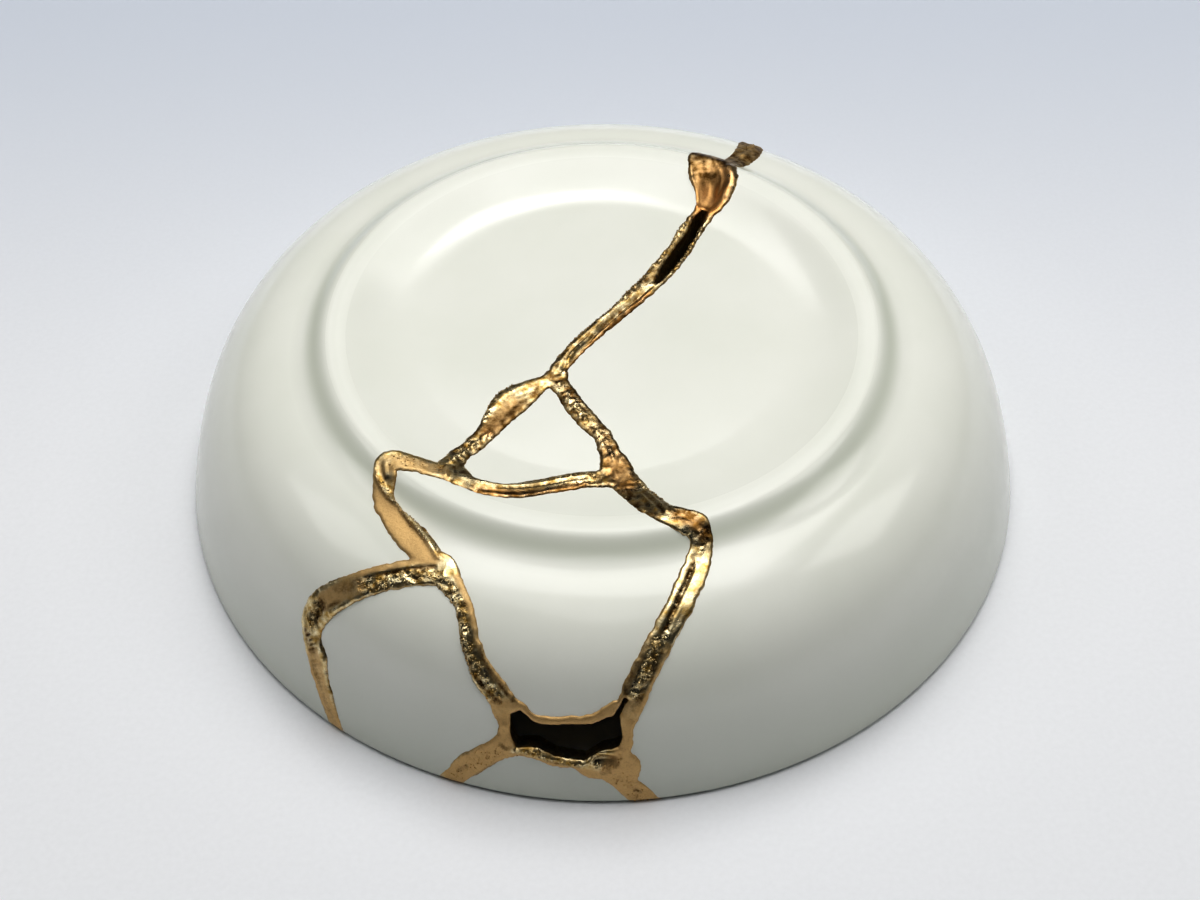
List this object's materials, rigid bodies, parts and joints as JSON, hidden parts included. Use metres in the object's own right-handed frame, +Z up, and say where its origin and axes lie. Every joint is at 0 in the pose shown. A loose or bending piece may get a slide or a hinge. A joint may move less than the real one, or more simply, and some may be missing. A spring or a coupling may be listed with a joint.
{
  "type": "kintsugi dish",
  "caption": "Shallow white porcelain dish, turned upside down on its rim, broken and mended with a raised gold seam that leaves an open gap in the wall.",
  "frame": {"origin": "centre of the rim circle, on the surface that the upturned dish rests on", "axes": "+Z up through the base towards the foot ring, -Y towards the open gap in the wall"},
  "size_m": [0.14, 0.14, 0.0327],
  "materials": {
    "porcelain": "warm white clear glaze",
    "gold": "gold powder on lacquer, burnished in places and granular in others"
  },
  "bodies": {
    "root": {"sherd_left": "porcelain", "sherd_right": "porcelain", "sherd_foot": "porcelain", "sherd_front": "porcelain", "sherd_front_left": "porcelain", "sherd_rim": "porcelain", "gold_seam": "gold"}
  },
  "joints": []
}
